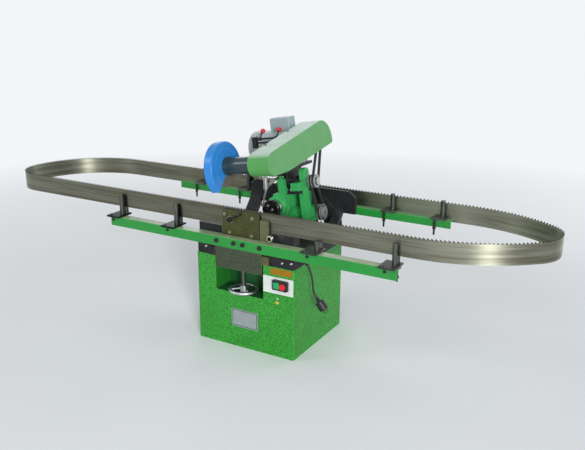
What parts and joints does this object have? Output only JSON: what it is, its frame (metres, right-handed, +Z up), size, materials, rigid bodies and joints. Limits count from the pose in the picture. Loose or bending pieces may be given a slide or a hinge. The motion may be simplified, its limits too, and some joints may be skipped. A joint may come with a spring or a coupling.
{
  "type": "saw blade sharpener",
  "caption": "Floor-standing band saw blade sharpener: cabinet, knee slide with vise and rails, looped blade, tilted grinding head with belt drive and feed gearbox.",
  "frame": {"origin": "on the floor under the middle of the cabinet", "axes": "+X along the blade to the right, -Y towards the operator, +Z up"},
  "size_m": [3.0382, 0.7501, 1.0913],
  "materials": {
    "cabinet_green": "hammertone",
    "cover_green": "semi-gloss",
    "guard_blue": "semi-gloss",
    "motor_gray": "satin",
    "black_iron": "satin",
    "slide_gray": "machined",
    "steel": "machined",
    "blade_steel": "rolled",
    "vise_brown": "satin",
    "olive": "satin",
    "plate_white": "satin",
    "bare_aluminium": "brushed",
    "black_plastic": "matte",
    "green_plastic": "gloss",
    "red_plastic": "gloss",
    "belt_rubber": "matte",
    "abrasive": "grainy",
    "cord_rubber": "matte"
  },
  "bodies": {
    "base": {"cabinet": "cabinet_green", "bed": "black_iron", "keepers": "olive", "screw_bearing": "black_iron", "name_plate": "bare_aluminium", "switch_plate": "plate_white", "switch_box": "black_plastic", "swivel_base": "black_iron", "gearbox": "cabinet_green", "pivot_shaft": "steel", "feed_bracket": "cabinet_green", "belt_lower": "belt_rubber", "rear_bracket": "black_iron", "rear_rail_left": "cabinet_green", "rear_rail_right": "cabinet_green", "rear_supports": "black_iron", "rear_clamps": "black_iron", "gland": "black_plastic", "cord": "cord_rubber", "plug": "black_plastic"},
    "start_button": {"start_button": "green_plastic"},
    "stop_button": {"stop_button": "red_plastic"},
    "slide": {"slide": "slide_gray", "front_rail_left": "cabinet_green", "front_rail_right": "cabinet_green", "slide_bolts": "black_iron", "vise_body": "black_iron", "vise_plate": "vise_brown", "vise_block": "olive", "front_supports": "black_iron", "front_clamps": "black_iron", "saw_blade": "blade_steel"},
    "vise_lever": {"vise_lever": "black_iron"},
    "vise_knob": {"vise_knob": "black_plastic"},
    "handwheel": {"handwheel": "steel", "lead_screw": "steel"},
    "head": {"head_arm": "black_iron", "spindle_housing": "black_iron", "wheel_guard": "guard_blue", "belt_cover": "cover_green", "motor": "motor_gray", "terminal_box": "motor_gray", "belt_spindle": "belt_rubber", "belt_drive": "belt_rubber", "handle_bracket": "black_iron"},
    "handle_left": {"handle_left": "black_iron", "ball_left": "red_plastic"},
    "handle_right": {"handle_right": "black_iron", "ball_right": "red_plastic"},
    "spindle": {"spindle": "steel", "grinding_wheel": "abrasive"},
    "rotor": {"motor_rotor": "steel"},
    "counter_pulley": {"counter_pulley": "steel"},
    "gear_pulley": {"gear_pulley": "steel"},
    "crank": {"crank_disc": "black_iron", "cam_collar": "steel"},
    "rocker": {"feed_rocker": "steel"},
    "feed_rod": {"feed_rod": "steel"},
    "lift_lever": {"lift_lever": "black_iron"},
    "lift_rod": {"lift_rod": "black_iron"}
  },
  "joints": [
    {"name": "knee_lift", "type": "slide", "parent": "base", "child": "slide", "axis": [0, 0, 1], "range_m": [0, 0.015]},
    {"name": "handwheel_turn", "type": "hinge", "parent": "base", "child": "handwheel", "pos_m": [-0.02, -0.228, 0.304], "axis": [0, 0, 1], "range_deg": [-5, 1356]},
    {"name": "vise_clamp", "type": "hinge", "parent": "slide", "child": "vise_lever", "pos_m": [-0.088, -0.24, 0.654], "axis": [0, -1, 0], "range_deg": [-60, 15]},
    {"name": "vise_adjust", "type": "hinge", "parent": "slide", "child": "vise_knob", "pos_m": [0.139, -0.236, 0.594], "axis": [0, -1, 0], "range_deg": [-180, 180]},
    {"name": "start_press", "type": "slide", "parent": "base", "child": "start_button", "axis": [0, 1, 0], "range_m": [0, 0.003], "stiffness_N_per_m": 400},
    {"name": "stop_press", "type": "slide", "parent": "base", "child": "stop_button", "axis": [0, 1, 0], "range_m": [0, 0.003], "stiffness_N_per_m": 400},
    {"name": "head_swing", "type": "hinge", "parent": "base", "child": "head", "pos_m": [0.01215, 0.203, 0.76354], "axis": [0.9877, 0, 0.1564], "range_deg": [0, 9]},
    {"name": "spindle_spin", "type": "hinge", "parent": "head", "child": "spindle", "pos_m": [-0.1314, -0.185, 0.9028], "axis": [0.9877, 0, 0.1564], "continuous": true},
    {"name": "rotor_spin", "type": "hinge", "parent": "head", "child": "rotor", "pos_m": [0.01362, 0.29, 0.94602], "axis": [0.9877, 0, 0.1564], "continuous": true},
    {"name": "handle_left_swing", "type": "hinge", "parent": "head", "child": "handle_left", "pos_m": [-0.16201, 0.155, 0.98098], "axis": [0.9877, 0, 0.1564], "range_deg": [0, 60]},
    {"name": "handle_right_swing", "type": "hinge", "parent": "head", "child": "handle_right", "pos_m": [-0.06225, 0.155, 0.99677], "axis": [0.9877, 0, 0.1564], "range_deg": [0, 60]},
    {"name": "counter_spin", "type": "hinge", "parent": "base", "child": "counter_pulley", "pos_m": [0.13068, 0.203, 0.78231], "axis": [0.9877, 0, 0.1564], "continuous": true},
    {"name": "gear_spin", "type": "hinge", "parent": "base", "child": "gear_pulley", "pos_m": [0.15473, 0.263, 0.60489], "axis": [0.9877, 0, 0.1564], "continuous": true},
    {"name": "crank_spin", "type": "hinge", "parent": "base", "child": "crank", "pos_m": [-0.04081, 0.068, 0.63771], "axis": [0, 1, 0], "continuous": true},
    {"name": "rocker_swing", "type": "hinge", "parent": "base", "child": "rocker", "pos_m": [-0.02342, 0.065, 0.79638], "axis": [0, 1, 0], "range_deg": [-8, 8]},
    {"name": "feed_rod_swing", "type": "hinge", "parent": "rocker", "child": "feed_rod", "pos_m": [-0.06001, 0.048, 0.76021], "axis": [0, 1, 0], "range_deg": [-9, 9]},
    {"name": "lever_swing", "type": "hinge", "parent": "base", "child": "lift_lever", "pos_m": [0.08635, 0.145, 0.72973], "axis": [0, -1, 0], "range_deg": [-1, 10]},
    {"name": "rod_lift", "type": "slide", "parent": "base", "child": "lift_rod", "axis": [-0.1564, 0, 0.9877], "range_m": [-0.0105, 0.0005]}
  ],
  "couplings": [
    {"joint": "handwheel_turn", "follows": "knee_lift", "rad_per_m": 1570.8},
    {"joint": "rotor_spin", "follows": "spindle_spin", "ratio": 1.2273},
    {"joint": "counter_spin", "follows": "spindle_spin", "ratio": 0.81818},
    {"joint": "gear_spin", "follows": "spindle_spin", "ratio": 0.64286},
    {"joint": "crank_spin", "follows": "spindle_spin", "ratio": 0.021429},
    {"joint": "feed_rod_swing", "follows": "rocker_swing", "ratio": -1},
    {"joint": "lever_swing", "follows": "head_swing", "ratio": 1.02},
    {"joint": "rod_lift", "follows": "head_swing", "m_per_rad": -0.06}
  ]
}
